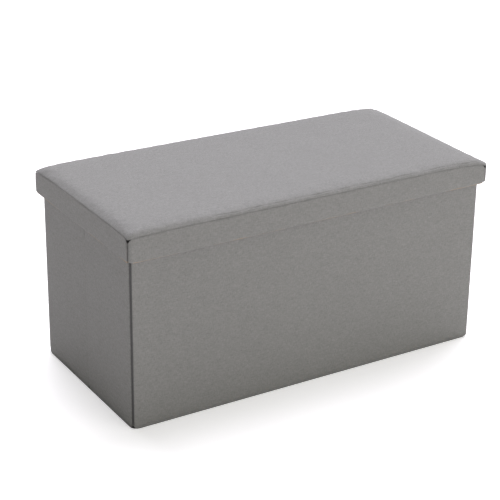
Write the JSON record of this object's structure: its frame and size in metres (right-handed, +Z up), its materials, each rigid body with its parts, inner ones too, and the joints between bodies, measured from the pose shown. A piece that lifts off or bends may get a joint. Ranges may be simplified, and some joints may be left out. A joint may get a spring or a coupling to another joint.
{
  "type": "storage bench",
  "caption": "Long cloth-covered storage bench that folds flat, with a lift-off padded seat lid, a deep rim round the lid and creased end walls.",
  "frame": {"origin": "on the floor, under the middle of the bench", "axes": "+X along the bench's length, +Y from the front to the back wall, +Z up"},
  "size_m": [0.765, 0.38, 0.375],
  "materials": {
    "outer_cloth": "woven grey linen-look polyester, matt",
    "lining_cloth": "non-woven grey lining cloth, matt",
    "board": "pressed grey-brown board, matt",
    "foam": "open-cell foam",
    "ribbon": "woven grosgrain ribbon"
  },
  "bodies": {
    "back_wall": {"back_board": "board", "back_cover": "outer_cloth", "back_lining": "lining_cloth", "bottom_sheet": "lining_cloth", "base_hinge_strip": "lining_cloth", "corner_strip_left_rear": "outer_cloth", "corner_strip_right_rear": "outer_cloth"},
    "left_rear_panel": {"left_rear_board": "board", "left_rear_cover": "outer_cloth", "left_rear_lining": "lining_cloth", "left_rear_hem": "outer_cloth", "crease_strip_left": "lining_cloth"},
    "left_front_panel": {"left_front_board": "board", "left_front_cover": "outer_cloth", "left_front_lining": "lining_cloth", "left_front_hem": "outer_cloth"},
    "front_wall": {"front_board": "board", "front_cover": "outer_cloth", "front_lining": "lining_cloth", "front_hem": "outer_cloth", "corner_strip_left_front": "outer_cloth", "corner_strip_right_front": "outer_cloth"},
    "right_rear_panel": {"right_rear_board": "board", "right_rear_cover": "outer_cloth", "right_rear_lining": "lining_cloth", "right_rear_hem": "outer_cloth", "crease_strip_right": "lining_cloth"},
    "right_front_panel": {"right_front_board": "board", "right_front_cover": "outer_cloth", "right_front_lining": "lining_cloth", "right_front_hem": "outer_cloth"},
    "base": {"base_board": "board", "base_cover": "lining_cloth", "base_pull_ribbon": "ribbon"},
    "lid": {"lid_lining": "lining_cloth", "lid_board": "board", "lid_foam_pad": "foam", "lid_top_cover": "outer_cloth", "lid_skirt_front": "outer_cloth", "lid_skirt_back": "outer_cloth", "lid_skirt_left": "outer_cloth", "lid_skirt_right": "outer_cloth", "lid_rim_board_front": "board", "lid_rim_board_back": "board", "lid_rim_board_left": "board", "lid_rim_board_right": "board"}
  },
  "joints": [
    {"name": "fold", "type": "hinge", "parent": "back_wall", "child": "left_rear_panel", "pos_m": [-0.3677, 0.1662, 0], "axis": [0, 0, 1], "range_deg": [0, 88], "deforming": ["left_rear_hem"]},
    {"name": "left_crease", "type": "hinge", "parent": "left_rear_panel", "child": "left_front_panel", "pos_m": [-0.3735, 0, 0], "axis": [0, 0, 1], "range_deg": [-176, 0], "deforming": ["left_front_hem", "crease_strip_left"]},
    {"name": "front_left_corner", "type": "hinge", "parent": "left_front_panel", "child": "front_wall", "pos_m": [-0.3677, -0.1662, 0], "axis": [0, 0, 1], "range_deg": [0, 88], "deforming": ["front_hem"]},
    {"name": "rear_right_corner", "type": "hinge", "parent": "back_wall", "child": "right_rear_panel", "pos_m": [0.3677, 0.1662, 0], "axis": [0, 0, -1], "range_deg": [0, 88], "deforming": ["right_rear_hem"]},
    {"name": "right_crease", "type": "hinge", "parent": "right_rear_panel", "child": "right_front_panel", "pos_m": [0.3735, 0, 0], "axis": [0, 0, -1], "range_deg": [-176, 0], "deforming": ["right_front_hem", "crease_strip_right"]},
    {"name": "base_flap", "type": "hinge", "parent": "back_wall", "child": "base", "pos_m": [0, 0.1703, 0.0044], "axis": [-1, 0, 0], "range_deg": [0, 90], "deforming": ["base_hinge_strip"]},
    {"name": "lid_lift", "type": "slide", "parent": "back_wall", "child": "lid", "axis": [0, 0, 1], "range_m": [0, 0.4]}
  ],
  "couplings": [
    {"joint": "left_crease", "follows": "fold", "ratio": -2},
    {"joint": "front_left_corner", "follows": "fold", "ratio": 1},
    {"joint": "rear_right_corner", "follows": "fold", "ratio": 1},
    {"joint": "right_crease", "follows": "fold", "ratio": -2}
  ]
}
